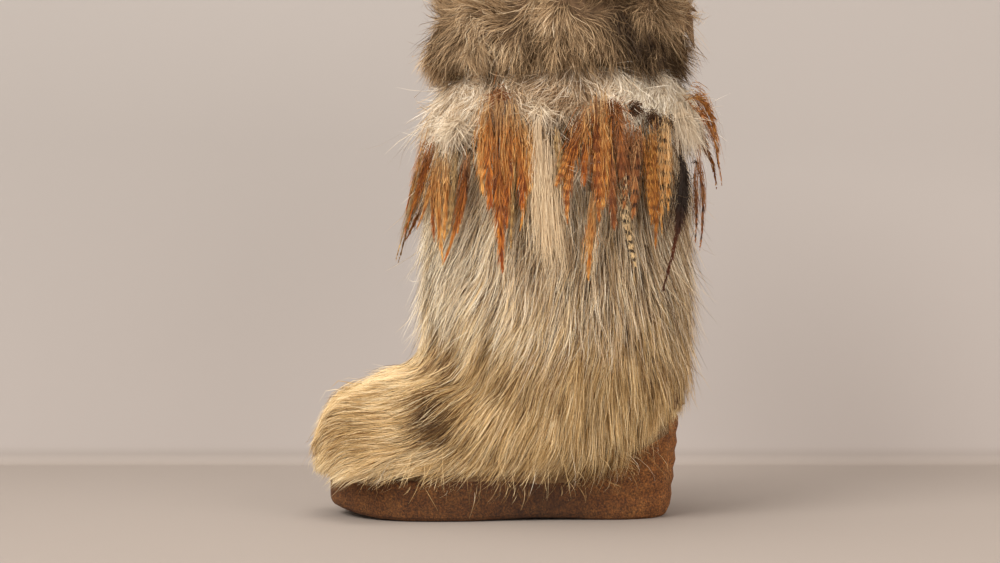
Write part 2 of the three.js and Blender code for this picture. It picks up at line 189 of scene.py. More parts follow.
def place_parts(tree, space):
    """X, Y and Z of the place in the object, in metres or as shares of its box."""
    place = add_node(tree, "TexCoord").outputs[space]
    return add_node(tree, "SeparateXYZ", Vector=place).outputs


def cloudy(tree, size, detail, roughness=0.5):
    """Cloudy noise. The clouds get smaller as the size goes up."""
    place = add_node(tree, "TexCoord").outputs["Object"]
    noise = add_node(tree, "TexNoise", Vector=place, Scale=size, Detail=detail, Roughness=roughness)
    return noise.outputs["Fac"]


def bumps(tree, shader, height, depth):
    """Fine bumps of that depth on the surface."""
    bump = add_node(tree, "Bump", Height=height, Distance=depth)
    feed(tree, bump.outputs["Normal"], shader.inputs["Normal"])


def paint(tree, shader, colour, roughness, sheen=0.5):
    feed(tree, colour, shader.inputs["Base Color"])
    feed(tree, roughness, shader.inputs["Roughness"])
    feed(tree, sheen, shader.inputs["Specular IOR Level"])


def grainy_material(name, dark, light, size, detail, roughness, bump_depth=0):
    """Two colours in cloudy patches, with bumps where a depth is given."""
    material, tree, shader = node_material(name)
    grain = cloudy(tree, size, detail)
    paint(tree, shader, ramp(tree, grain, [(0.3, *dark), (0.7, *light)]), roughness)
    if bump_depth:
        bumps(tree, shader, grain, bump_depth)
    return material


def hair_places(tree):
    """The tone and the place along the hair, which every hair carries in its own map."""
    chart = add_node(tree, "UVMap")
    chart.uv_map = "OFBake"
    parts = add_node(tree, "SeparateXYZ", Vector=chart.outputs["UV"])
    return parts.outputs["X"], parts.outputs["Y"]


def hair_material(name, roots, tips, change, roughness=0.6):
    """Hair whose tone goes from dark to light, with its own root and tip colour for each tone."""
    material, tree, shader = node_material(name)
    tone, along = hair_places(tree)
    share = ramp(tree, along, change)
    colour = mixed_colour(tree, share, ramp(tree, tone, roots), ramp(tree, tone, tips))
    paint(tree, shader, colour, roughness, 0.35)
    return material


# Hair

# Hair on the inner side of the leg is sparser, and thicker to cover as well
INNER_DENSITY = 0.7
INNER_WIDTH = 1.3

# What has a neighbour this close faces inwards and grows no hair
FACED = 1.4 * MM


def surface_of(node, neighbours):
    """The outward triangles of a node: those that no neighbour faces from close by."""
    mesh = NODES[node].data
    mesh.calc_loop_triangles()
    points = np.array([v.co for v in mesh.vertices])
    corners = points[np.array([t.vertices for t in mesh.loop_triangles])]
    others = [NODES[name].data for name in neighbours]
    trees = [BVHTree.FromPolygons([v.co for v in other.vertices], [p.vertices for p in other.polygons])
             for other in others]
    middles = corners.mean(axis=1)
    keep = [all((tree.find_nearest(Vector(m))[3] or 1) > FACED for tree in trees) for m in middles]
    return corners[np.array(keep)]


def scatter(corners, count, rng):
    """Random points on triangles, somewhat sparser on the inner side of the leg."""
    sides_a = corners[:, 1] - corners[:, 0]
    sides_b = corners[:, 2] - corners[:, 0]
    areas = np.linalg.norm(np.cross(sides_a, sides_b), axis=1)
    areas = areas * np.where(corners[:, :, 0].mean(axis=1) < 0, INNER_DENSITY, 1)
    chosen = rng.choice(len(corners), count, p=areas / areas.sum())
    a, b = rng.random((2, count, 1))
    over = (a + b) > 1
    a, b = np.where(over, 1 - a, a), np.where(over, 1 - b, b)
    return corners[chosen, 0] + a * sides_a[chosen] + b * sides_b[chosen]


# Bones that hair stands out from: one in the shaft, which fades in between two heights, and one
# along heel and foot. The nearer one counts for far more.
SHAFT_BONE_LOW = 0.12
SHAFT_FADE_IN = (0.10, 0.17)
NEARNESS = -8
CLOSEST = 0.05
SHAFT_RADIUS = np.array([0.085, 0.108, 0.085])
FOOT_BONE = np.array([[0, -0.05, 0.17], [0, -0.07, 0.08], [-0.006, SOLE[0][1] + 0.022, 0.055]])
FOOT_RADIUS = 0.045


def from_bone(points, start, end):
    side = end - start
    share = np.clip(((points - start) @ side) / (side @ side), 0, 1)
    return points - start - share[:, None] * side


def outward(points):
    """The way out from the bones, above all from the nearer one."""
    from_shaft = points - np.array([0, SHAFT_MIDDLE_Y, 0])
    from_shaft[:, 2] = np.minimum(points[:, 2] - SHAFT_BONE_LOW, 0)
    shaft_reach = np.linalg.norm(from_shaft / SHAFT_RADIUS, axis=1, keepdims=True)
    heel, foot = (from_bone(points, *FOOT_BONE[k:k + 2]) for k in (0, 1))
    heel_reach, foot_reach = (np.linalg.norm(way, axis=1, keepdims=True) for way in (heel, foot))
    from_foot = np.where(heel_reach < foot_reach, heel, foot)
    foot_reach = np.minimum(heel_reach, foot_reach) / FOOT_RADIUS
    near_shaft = np.maximum(shaft_reach, CLOSEST) ** NEARNESS * smooth(*SHAFT_FADE_IN, points[:, 2:])
    near_foot = np.maximum(foot_reach, CLOSEST) ** NEARNESS
    return unit(near_shaft * unit(from_shaft / SHAFT_RADIUS ** 2) + near_foot * unit(from_foot))


# The top line of instep and toe, which hair lies down on
TOP_Y = [-0.262, -0.245, -0.238, -0.227, -0.208, -0.190, -0.179, -0.171, -0.166, -0.160]
TOP_Z = [0.045, 0.060, 0.077, 0.090, 0.100, 0.107, 0.115, 0.129, 0.148, 0.500]


def laid_down(points, slack):
    """Points held down to the top line, but for their slack above it."""
    top = np.interp(points[:, 1], TOP_Y, TOP_Z) + slack
    return np.stack([points[:, 0], points[:, 1], np.minimum(points[:, 2], top)], axis=1)


# How body hair lies, in degrees from straight down towards the toe. Columns run from toe to heel
# and rows upwards.
LIE_Y = [-0.24, -0.21, -0.18, -0.15, -0.12, -0.09, -0.05, -0.01, 0.02, 0.05]
LIE_Z = [0.03, 0.06, 0.09, 0.12, 0.16, 0.21, 0.28]
LIE = np.array([
    [30, 72, 80, 64, 40, 24, 14, 6, 2, -2],
    [40, 80, 82, 62, 38, 22, 12, 4, 0, -6],
    [62, 80, 68, 46, 36, 26, 12, 4, -4, -12],
    [72, 72, 50, 36, 34, 28, 14, 4, -6, -16],
    [66, 50, 32, 28, 29, 25, 12, 2, -8, -20],
    [46, 28, 18, 18, 20, 17, 8, 0, -10, -22],
    [20, 15, 12, 12, 12, 8, 4, 0, -6, -14],
])
LIE_NOISE = [(6, 0.05, 3), (4, 0.02, 4)]


def lie_of_body_hair(points):
    """How long hair lies: down the shaft in a slight fan, then swept forwards over the foot."""
    column = np.interp(points[:, 1], LIE_Y, np.arange(len(LIE_Y)))
    row = np.interp(points[:, 2], LIE_Z, np.arange(len(LIE_Z)))
    left = np.minimum(column.astype(int), len(LIE_Y) - 2)
    low = np.minimum(row.astype(int), len(LIE_Z) - 2)
    over, up = column - left, row - low
    lower = LIE[low, left] * (1 - over) + LIE[low, left + 1] * over
    upper = LIE[low + 1, left] * (1 - over) + LIE[low + 1, left + 1] * over
    angle = np.radians(with_noise(lower * (1 - up) + upper * up, points, LIE_NOISE))
    return np.stack([0.1 * waves(points, 0.045, 5), -np.sin(angle), -np.cos(angle)], axis=1)


def along_surface(ways, out):
    """The ways turned to run along the surface."""
    return unit(ways - (ways * out).sum(axis=1, keepdims=True) * out)


# A share of the strands strays further than the rest, by a factor
STRAYS = (0.08, 2.5)

# Held strands ride over the top line by some mm on average, and a share of them by a factor more
RIDE_OVER = 3.5
HIGH_RIDERS = (0.12, 2.5)
NOT_HELD = 1.0


def factor_for_some(shape, share, factor, rng):
    return np.where(rng.random(shape) < share, factor, 1)


def grow(roots, lie, lengths, steps, lift, wild, rng, held=False):
    """Strands as points from root to tip. Lift is the slope off the surface at root and tip, wild is
    how far strands stray, and held strands stay near the top line."""
    count = len(roots)
    stray = rng.normal(size=roots.shape) * wild * factor_for_some((count, 1), *STRAYS, rng)
    over = rng.exponential(RIDE_OVER, count) * factor_for_some(count, *HIGH_RIDERS, rng) * MM
    slack = np.where(held, over, NOT_HELD)
    points = [roots]
    spot = roots
    for step in range(steps):
        share = (step + 0.5) / steps
        out = outward(spot)
        way = along_surface(lie(spot), out) + out * (lift[0] * (1 - share) + lift[1] * share)
        way = way + stray * (0.5 + share)
        spot = laid_down(spot + unit(way) * (lengths / steps)[:, None], slack)
        points.append(spot)
    return np.stack(points, axis=1)


def clumped(strands, every, pull, rng):
    """Draws the tips of strands together, in locks of about so many."""
    count = len(strands)
    guides = rng.choice(count, max(1, count // every), replace=False)
    tree = KDTree(len(guides))
    for index, guide in enumerate(guides):
        tree.insert(strands[guide, 0], index)
    tree.balance()
    owner = guides[np.array([tree.find(root)[1] for root in strands[:, 0]])]
    steps = strands.shape[1]
    share = (np.arange(steps) / (steps - 1))[None, :, None]
    amount = pull * rng.uniform(0.5, 1.0, (count, 1, 1)) * share ** 1.3
    return strands * (1 - amount) + strands[owner] * amount


def strips(strands, chart, width, taper, roll, rng, facing=None):
    """Flat tapered strips along strands, as points, faces and the chart place of every corner."""
    count, rings = strands.shape[0], strands.shape[1] - 1
    tangents = unit(np.gradient(strands, axis=1))
    out = outward(strands[:, 1])[:, None, :] if facing is None else facing[:, None, :]
    sides = unit(np.cross(tangents, out + rng.normal(size=(count, 1, 3)) * roll))
    half = 0.5 * width * np.interp(np.arange(rings) / rings, *taper)
    half = half[None, :, None] * rng.uniform(0.7, 1.3, (count, 1, 1))
    half = half * np.where(strands[:, :1, :1] < 0, INNER_WIDTH, 1)
    left = strands[:, :-1] - sides[:, :-1] * half
    right = strands[:, :-1] + sides[:, :-1] * half
    body = np.stack([left, right], axis=2).reshape(count, 2 * rings, 3)
    points = np.concatenate([body, strands[:, -1:]], axis=1).reshape(-1, 3)
    quads = [[2 * k, 2 * k + 1, 2 * k + 3, 2 * k + 2] for k in range(rings - 1)]
    pattern = np.array(sum(quads, []) + [2 * rings - 2, 2 * rings - 1, 2 * rings])
    corners = (np.arange(count)[:, None] * (2 * rings + 1) + pattern).ravel()
    sizes = np.tile([4] * (rings - 1) + [3], count)
    ring_of = np.array([k for k in range(rings) for _ in (0, 1)] + [rings])
    places = chart[:, ring_of[pattern]].reshape(-1, 2)
    return points, corners, sizes, places


# Of what stands further than this out of the CAD box, three quarters are drawn in
PROUD = 6 * MM
DRAWN_IN = 0.75


def drawn_in(points):
    low, high = np.array(CAD_BOX[0]) - PROUD, np.array(CAD_BOX[1]) + PROUD
    return points - DRAWN_IN * np.maximum(points - high, 0) + DRAWN_IN * np.maximum(low - points, 0)


def mesh_piece(name, parts, materials, slots=None):
    """One mesh from several parts of strips, each with the material in its slot."""
    offsets = np.cumsum([0] + [len(part[0]) for part in parts[:-1]])
    corners = np.concatenate([part[1] + offset for part, offset in zip(parts, offsets)])
    points, sizes, places = (np.concatenate([part[k] for part in parts]) for k in (0, 2, 3))
    points = drawn_in(points)
    mesh = bpy.data.meshes.new(name)
    mesh.vertices.add(len(points))
    mesh.vertices.foreach_set("co", points.astype(np.float32).ravel())
    mesh.loops.add(len(corners))
    mesh.loops.foreach_set("vertex_index", corners.astype(np.int32))
    mesh.polygons.add(len(sizes))
    starts = np.concatenate([[0], np.cumsum(sizes)[:-1]])
    mesh.polygons.foreach_set("loop_start", starts.astype(np.int32))
    mesh.polygons.foreach_set("use_smooth", np.ones(len(sizes), bool))
    for material in materials:
        mesh.materials.append(material)
    if slots is not None:
        slot_of = np.repeat(slots, [len(part[2]) for part in parts])
        mesh.polygons.foreach_set("material_index", slot_of.astype(np.int32))
    mesh.update(calc_edges=True)
    mesh.uv_layers.new(name="OFBake").data.foreach_set("uv", places.astype(np.float32).ravel())
    piece = add_object(name, mesh)
    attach(piece, "root")
    return piece


# How far hairs roll about their length
HAIR_ROLL = 0.5


def ribbons(name, strands, tones, width, taper, material, rng):
    """One mesh of hairs, each with its tone across the chart and its length up it."""
    steps = strands.shape[1]
    chart = np.empty((len(strands), steps, 2))
    chart[:, :, 0] = np.clip(tones, 0.004, 0.996)[:, None]
    chart[:, :, 1] = np.linspace(0, 1, steps)
    mesh_piece(name, [strips(strands, chart, width, taper, HAIR_ROLL, rng)], [material])


# Where the mass of hair ends over the sole: y and z, how far single hairs hang on below it, and how
# far all hair may
HEM_Y = [-0.245, -0.20, -0.15, -0.11, -0.07, -0.03, 0.0, 0.02, 0.045]
HEM_Z = [0.036, 0.037, 0.040, 0.042, 0.044, 0.048, 0.057, 0.074, 0.086]
HEM_TAIL = [0.002, 0.002, 0.004, 0.010, 0.013, 0.013, 0.009, 0.006, 0.003]
HEM_SPARE = 7 * MM


# Tones of body hair by area: y, z and the reach in y and z in mm, then the tone from dark to light
BODY_TONES = [
    # Toe
    (-215, 90, 24, 22, 0.74),
    (-200, 64, 26, 14, 0.50),
    (-195, 42, 45, 12, 1.06),
    # Whorl on the foot, its dark tones partly painted shade
    (-134, 93, 14, 11, -0.46),
    (-122, 78, 12, 8, 0.00),
    # Gold and straw above the sole
    (-130, 50, 25, 14, 0.76),
    (-126, 126, 28, 26, 0.50),
    (-60, 132, 40, 26, 0.50),
    (-70, 88, 40, 22, 0.72),
    (-10, 80, 30, 30, 0.76),
    (30, 115, 25, 40, 0.60),
    (-5, 66, 30, 16, 0.20),
    # Shaft
    (-150, 190, 24, 70, 1.20),
    (-110, 200, 24, 55, 0.95),
    (-60, 215, 35, 45, 0.62),
    (-82, 170, 30, 18, 1.05),
    (10, 200, 30, 45, 0.56),
    (48, 190, 14, 50, 0.70),
    (-55, 285, 110, 25, 0.62),
]


# Smooth noise and long streaks in the tones, and their spread from hair to hair
BODY_NOISE = [(0.08, 0.02, 21), (0.06, 0.008, 22)]
BODY_STREAKS = [(0.10, 0.0035, 24)]
STREAK_SHAPE = [1, 1, 0.3]
BODY_SPREAD = 0.2


def tone_by_area(points, areas, elsewhere):
    """The mean of the areas' tones, each counting more the nearer it is."""
    y, z = points[:, 1] / MM, points[:, 2] / MM
    weight = np.full(len(points), 0.02)
    total = weight * elsewhere
    for spot_y, spot_z, reach_y, reach_z, tone in areas:
        near = np.exp(-((y - spot_y) / reach_y) ** 2 - ((z - spot_z) / reach_z) ** 2)
        weight = weight + near
        total = total + near * tone
    return total / weight


def body_tone(points, rng):
    """Tones with dark and light flecks, in the grey or the gold family. The shaft is greyer."""
    tone = with_noise(tone_by_area(points, BODY_TONES, 0.6), points, BODY_NOISE)
    tone = with_noise(tone, points * STREAK_SHAPE, BODY_STREAKS)
    count = len(points)
    tone = tone + rng.normal(size=count) * BODY_SPREAD
    fleck = rng.random(count)
    grey = smooth(0.13, 0.2, points[:, 2])
    tone = np.where(fleck < 0.07 + 0.13 * grey, rng.uniform(0.02, 0.22, count), tone)
    tone = np.where(fleck > 0.91 - 0.10 * grey, rng.uniform(0.86, 1.0, count), tone)
    golden = smooth(0.21, 0.13, points[:, 2] + 0.015 * waves(points, 0.04, 23)) * 0.9 + 0.1
    gold = rng.random(count) < golden
    return np.clip(tone, 0.02, 0.98) / 2 + 0.5 * gold


# Body hair comes in two families, grey in the chart's left half and gold in its right half
GREY_ROOTS = [
    (0.00, 60, 45, 32), (0.25, 106, 83, 59), (0.50, 154, 125, 91), (0.75, 192, 162, 122),
    (0.99, 216, 192, 158),
]
GREY_TIPS = [
    (0.00, 36, 26, 18), (0.25, 110, 85, 59), (0.50, 204, 175, 137), (0.75, 240, 216, 178),
    (0.99, 255, 246, 224),
]
GOLD_ROOTS = [
    (0.01, 66, 42, 18), (0.25, 106, 75, 38), (0.50, 140, 110, 69), (0.75, 180, 147, 98),
    (1.00, 212, 182, 136),
]
GOLD_TIPS = [
    (0.01, 64, 38, 14), (0.25, 126, 89, 42), (0.50, 194, 160, 106), (0.75, 234, 202, 146),
    (1.00, 252, 234, 194),
]
ROOT_TO_TIP = [(0.05, *BLACK), (0.55, *WHITE)]


def two_families(first, second):
    """One ramp from two, each squeezed into its half."""
    left = [(place / 2, *colour) for place, *colour in first]
    right = [(0.5 + place / 2, *colour) for place, *colour in second]
    return left + right


BODY_ROOTS = two_families(GREY_ROOTS, GOLD_ROOTS)
BODY_TIPS = two_families(GREY_TIPS, GOLD_TIPS)
body_hair = hair_material("body hair", BODY_ROOTS, BODY_TIPS, ROOT_TO_TIP)


# The undercoat is drawn in further towards the toe's tip, in parts of its depth
TOE_THINNER = 0.9


def undercoat(node, neighbours, depth, material):
    """The soft mass under the hair: the node's form, drawn in where it faces out, above the hem."""
    piece = NODES[node].copy()
    piece.data = NODES[node].data.copy()
    piece.name = node + "_undercoat"
    bpy.context.scene.collection.objects.link(piece)
    outer = {tuple(np.round(p, 6)) for p in surface_of(node, neighbours).reshape(-1, 3)}
    spots = np.array([v.co for v in piece.data.vertices])
    ways = outward(spots)
    hem = np.interp(spots[:, 1], HEM_Y, HEM_Z)
    for vertex, spot, way, low in zip(piece.data.vertices, spots, ways, hem):
        if tuple(np.round(spot, 6)) in outer:
            vertex.co = spot - way * depth * (1 + TOE_THINNER * smooth(-0.20, -0.24, spot[1]))
            vertex.co.z = max(vertex.co.z, low)
    piece.data.materials.clear()
    piece.data.materials.append(material)
    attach(piece, "root")
    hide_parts(node)


BODY_NEIGHBOURS = ["upper", "shaft", "crepe_sole", "downy_band"]
body_under = grainy_material("body undercoat", (84, 62, 40), (134, 104, 70), 240, 6, 0.95)
undercoat("body_hair", BODY_NEIGHBOURS, 9 * MM, body_under)


# All hairs have a short tail below the hem, in parts of HEM_TAIL, and a share has a long one too
LONG_TAILS = 0.05
LONG_TAIL = (1, 2.4)
SHORT_TAIL = 0.5


def within_hem(roots, lengths, lie, rng):
    """Lengths cut so that tips end near the hem, and which roots to keep."""
    y, z = roots[:, 1], roots[:, 2]
    count = len(roots)
    tail = rng.exponential(SHORT_TAIL, count)
    tail = tail + np.where(rng.random(count) < LONG_TAILS, rng.uniform(*LONG_TAIL, count), 0)
    tail = tail * np.interp(y, HEM_Y, HEM_TAIL)
    room = z - np.interp(y, HEM_Y, HEM_Z)
    drop = np.maximum(-unit(lie)[:, 2], 0.25)
    return np.minimum(lengths, (np.maximum(room, 0) + HEM_SPARE + tail) / drop), room > -2 * MM


# Roots of body hair lie so many mm under the surface, and deeper at the heel's back and the toe's tip
ROOT_DEPTH = (6, 11)
HEEL_DEEPER = 5
TOE_DEEPER = 6

# Hair rooted below this height is held to the top line
HELD_BELOW = 0.148

# Hairs to a lock, and to the small locks that it is made of
LOCK = 30
SMALL_LOCK = 6
BODY_TAPER = ([0, 0.3, 0.7, 1.0], [0.8, 1.0, 0.75, 0.3])


def body_depth(roots, rng):
    y = roots[:, 1]
    depth = rng.uniform(*ROOT_DEPTH, len(roots)) + HEEL_DEEPER * smooth(0.0, 0.05, y)
    return (depth + TOE_DEEPER * smooth(-0.22, -0.25, y))[:, None]


def body_coat(name, corners, count, length, steps, width, seed, lift, wild, pull):
    """One coat of hair, which is shorter on the foot and the toe and ends at the hem."""
    rng = np.random.default_rng(seed)
    roots = scatter(corners, count, rng)
    y, z = roots[:, 1], roots[:, 2]
    foot = smooth(-0.13, -0.18, y) * smooth(0.16, 0.11, z)
    toe = smooth(-0.19, -0.24, y)
    long = length * MM * (1 - 0.2 * foot - 0.3 * toe) * rng.uniform(0.65, 1.2, count)
    long, kept = within_hem(roots, long, lie_of_body_hair(roots), rng)
    roots, long = roots[kept], long[kept]
    roots = roots - outward(roots) * body_depth(roots, rng) * MM
    strands = grow(roots, lie_of_body_hair, long, steps, lift, wild, rng, roots[:, 2] < HELD_BELOW)
    strands = clumped(strands, LOCK, pull, rng)
    strands = clumped(strands, SMALL_LOCK, 0.5 * pull, rng)
    ribbons(name, strands, body_tone(roots, rng), width * MM, BODY_TAPER, body_hair, rng)


BODY = surface_of("body_hair", BODY_NEIGHBOURS)
MIDDLES = BODY.mean(axis=1)
IS_LOW = MIDDLES[:, 2] < 0.15
IS_FOOT = IS_LOW & (MIDDLES[:, 1] < -0.125)
FOOT, LOW, HIGH = BODY[IS_FOOT], BODY[IS_LOW & ~IS_FOOT], BODY[~IS_LOW]

# Each coat: name, surface, hairs, length in mm, steps, width in mm, seed, lift at root and tip, how
# far hairs stray, and how strongly locks pull together
BODY_COATS = [
    ("hair_foot_under", FOOT, 12000, 36, 3, 0.50, 41, (0.35, 0.10), 0.08, 0.15),
    ("hair_foot", FOOT, 22000, 46, 4, 0.29, 42, (0.40, 0.14), 0.12, 0.18),
    ("hair_low_under", LOW, 11000, 40, 3, 0.55, 43, (0.30, 0.08), 0.06, 0.12),
    ("hair_low", LOW, 24000, 54, 4, 0.30, 44, (0.32, 0.12), 0.10, 0.16),
    ("hair_high_under", HIGH, 11000, 40, 3, 0.50, 45, (0.30, 0.05), 0.06, 0.10),
    ("hair_high", HIGH, 24000, 54, 4, 0.30, 46, (0.30, 0.08), 0.12, 0.14),
]
for coat in BODY_COATS:
    body_coat(*coat)


# Fringe hairs: how far below the hem, in parts of HEM_TAIL, how far they bow outwards, and a painted
# shade that darkens their tones under the hem
FRINGE_REACH = (0.2, 2.0)
FRINGE_BOW = 13 * MM
FRINGE_PAINTED_SHADE = 0.06
FRINGE_TAPER = ([0, 0.7, 1.0], [1.0, 0.8, 0.4])


def fringe(count, seed):
    """Single hairs that hang from the hem over the sole."""
    rng = np.random.default_rng(seed)
    y, z = MIDDLES[:, 1], MIDDLES[:, 2]
    roots = scatter(BODY[(z < 0.065) & (y > -0.20) & (y < 0.01)], count, rng)
    out = unit(outward(roots) * [1, 1, 0])
    roots = roots - out * 6 * MM
    y, z = roots[:, 1], roots[:, 2]
    way = lie_of_body_hair(roots) * [1, 0.5, 0.5] + rng.normal(size=roots.shape) * 0.35
    way = unit(way + [0, 0, -0.8])
    hang = np.interp(y, HEM_Y, HEM_TAIL) * rng.uniform(*FRINGE_REACH, count)
    long = (z - np.interp(y, HEM_Y, HEM_Z) + HEM_SPARE + hang) / np.maximum(-way[:, 2], 0.5)
    steps = np.linspace(0, 1, 5)[None, :, None]
    bow = out[:, None] * (FRINGE_BOW * np.sin(steps * 2.2))
    strands = roots[:, None] + way[:, None] * long[:, None, None] * steps + bow
    # The fringe's tones are darkened as painted shade under the hem.
    tones = body_tone(roots, rng) - FRINGE_PAINTED_SHADE
    ribbons("hair_fringe", strands, tones, 0.26 * MM, FRINGE_TAPER, body_hair, rng)


fringe(520, 47)


# Band of down

DOWN_ROOTS = [(0.0, 106, 80, 58), (0.4, 160, 132, 100), (0.7, 202, 180, 150), (1.0, 228, 212, 186)]
DOWN_TIPS = [(0.0, 120, 92, 66), (0.4, 196, 166, 130), (0.7, 234, 214, 186), (1.0, 252, 244, 228)]
BAND_NEIGHBOURS = ["shaft", "body_hair", "cuff"]
down_hair = hair_material("down", DOWN_ROOTS, DOWN_TIPS, ROOT_TO_TIP, 0.8)
down_under = grainy_material("band undercoat", (158, 132, 102), (200, 176, 146), 160, 6, 0.95)
undercoat("downy_band", BAND_NEIGHBOURS, 6 * MM, down_under)


# Tones of the down by area, front to back
DOWN_TONES = [
    (-135, 300, 16, 14, 0.95),
    (-135, 322, 22, 14, 0.88),
    (-100, 318, 16, 12, 0.44),
    (-60, 315, 22, 14, 0.50),
    (-22, 318, 22, 14, 0.44),
    # The back area is lightened past the lightest tone, partly painted light against the cuff's
    # shadow.
    (20, 320, 34, 22, 1.70),
    (35, 290, 14, 16, 0.80),
]


def lie_of_down(points):
    """How down lies: mostly downwards, in swirls."""
    turn = waves(points, 0.03, 31)
    down = -0.7 + 0.35 * waves(points, 0.025, 33)
    return np.stack([0.5 * waves(points, 0.03, 32), 0.6 * turn, down], axis=1)


DOWN_NOISE = [(0.12, 0.02, 34), (0.1, 0.009, 35)]
DOWN_SPREAD = 0.22
DOWN_TAPER = ([0, 0.5, 1.0], [0.8, 1.0, 0.4])
DOWN_PULL = 0.35


def band_coat(name, count, length, width, lift, seed):
    """Short down that stands out all round the band, in puffs."""
    rng = np.random.default_rng(seed)
    roots = scatter(surface_of("downy_band", BAND_NEIGHBOURS), count, rng)
    roots = roots - outward(roots) * rng.uniform(2, 6, (count, 1)) * MM
    long = length * rng.uniform(0.4, 1.3, count) * (1 + 0.35 * waves(roots, 0.03, 36))
    strands = grow(roots, lie_of_down, long, 3, lift, 0.35, rng)
    strands = clumped(strands, LOCK, DOWN_PULL, rng)
    tones = with_noise(tone_by_area(roots, DOWN_TONES, 0.6), roots, DOWN_NOISE)
    tones = tones + rng.normal(size=count) * DOWN_SPREAD
    ribbons(name, strands, tones, width, DOWN_TAPER, down_hair, rng)


band_coat("band_down", 14000, 26 * MM, 0.42 * MM, (0.7, 0.1), 51)
band_coat("band_wisps", 2600, 44 * MM, 0.34 * MM, (0.85, 0.05), 52)


# Cuff

CUFF_ROOTS = [(0.0, 46, 34, 22), (0.35, 100, 79, 54), (0.7, 148, 121, 87), (1.0, 186, 160, 126)]
CUFF_TIPS = [(0.0, 64, 47, 31), (0.35, 150, 123, 90), (0.7, 208, 178, 139), (1.0, 244, 226, 196)]
CUFF_CHANGE = [(0.1, *BLACK), (0.75, *WHITE)]
CUFF_NEIGHBOURS = ["shaft", "downy_band"]
cuff_hair = hair_material("cuff fur", CUFF_ROOTS, CUFF_TIPS, CUFF_CHANGE, 0.7)
cuff_under = grainy_material("cuff undercoat", (84, 64, 46), (124, 98, 72), 200, 6, 0.95)
undercoat("cuff", CUFF_NEIGHBOURS, 9 * MM, cuff_under)


# Tones of the cuff by area, front to back
CUFF_TONES = [
    (-150, 350, 20, 20, 0.48),
    (-130, 385, 25, 20, 0.48),
    (-105, 375, 8, 25, 0.85),
    (-85, 342, 20, 10, 0.34),
    (-60, 365, 18, 18, 0.54),
    (-30, 360, 14, 20, 0.46),
    (-2, 366, 20, 12, -0.26),
    (15, 350, 14, 12, 0.36),
    (40, 345, 16, 14, 0.32),
    (30, 388, 30, 14, 0.56),
]


CUFF_NOISE = [(0.1, 0.04, 64), (0.1, 0.015, 65)]
CUFF_SPREAD = 0.17
CUFF_TAPER = ([0, 0.5, 1.0], [0.9, 1.0, 0.4])
CUFF_LOCK = 50
CUFF_PULL = 0.35


def lie_of_cuff(points):
    """How cuff fur lies: in swirls, upwards at the top and hanging down at the bottom."""
    swirl = np.stack([waves(points, 0.06, seed) for seed in (61, 62, 63)], axis=1)
    fall = smooth(SHAFT_TOP - 0.01, SHAFT_TOP - 0.07, points[:, 2:])
    return (1.1 - 0.7 * fall) * swirl + (0.5 - 2.0 * fall) * np.array([[0.0, 0.0, 1.0]])


def cuff_coat(name, count, length, width, seed):
    """Fluffy fur, shorter and uneven at the cuff's lower edge."""
    rng = np.random.default_rng(seed)
    roots = scatter(surface_of("cuff", CUFF_NEIGHBOURS), count, rng)
    depth = rng.uniform(8, 14, count) + 7 * smooth(-0.01, 0.05, roots[:, 1])
    roots = roots - outward(roots) * depth[:, None] * MM
    low = smooth(BAND[1][2] + 0.035, BAND[1][2], roots[:, 2])
    uneven = 1 - 0.45 * low + 0.25 * low * waves(roots, 0.025, 66)
    long = length * rng.uniform(0.6, 1.2, count) * uneven
    strands = grow(roots, lie_of_cuff, long, 3, (1.0, 0.35), 0.3, rng)
    strands = clumped(strands, CUFF_LOCK, CUFF_PULL, rng)
    tones = with_noise(tone_by_area(roots, CUFF_TONES, 0.5), roots, CUFF_NOISE)
    tones = tones + rng.normal(size=count) * CUFF_SPREAD
    ribbons(name, strands, tones, width, CUFF_TAPER, cuff_hair, rng)


cuff_coat("cuff_fur", 34000, 36 * MM, 0.36 * MM, 71)


# Feathers

# The surface that feathers hang on, in mm: its middle, and half its depth and width
HANG_MIDDLE = -54
HANG_DEPTH = 112
HANG_WIDTH = 90


def hang_point(y, z, lift, hand):
    """Places in metres at y and z in mm, so far off the hang surface, on the outer or inner side."""
    share = (y - HANG_MIDDLE) / (HANG_DEPTH + lift)
    narrow = 0.9 + 0.1 * smooth(350, 310, z)
    x = (HANG_WIDTH + lift) * np.sqrt(np.maximum(1 - share ** 2, 0.02)) * narrow
    return np.stack([hand * x, y + 0 * x, z + 0 * x], axis=-1) * MM


# How wide a feather is along its length
HACKLE = ([0, 0.08, 0.3, 0.6, 0.85, 1], [0.35, 0.7, 1.0, 0.85, 0.45, 0.08])
STRIP = ([0, 0.1, 0.6, 0.85, 1], [0.7, 1.0, 0.95, 0.55, 0.05])
LANCE = ([0, 0.1, 0.28, 0.48, 0.6, 0.68, 1], [0.1, 0.55, 1.0, 0.9, 0.5, 0.28, 0.1])

# Loose fibres beside a feather
FIBRES = 65

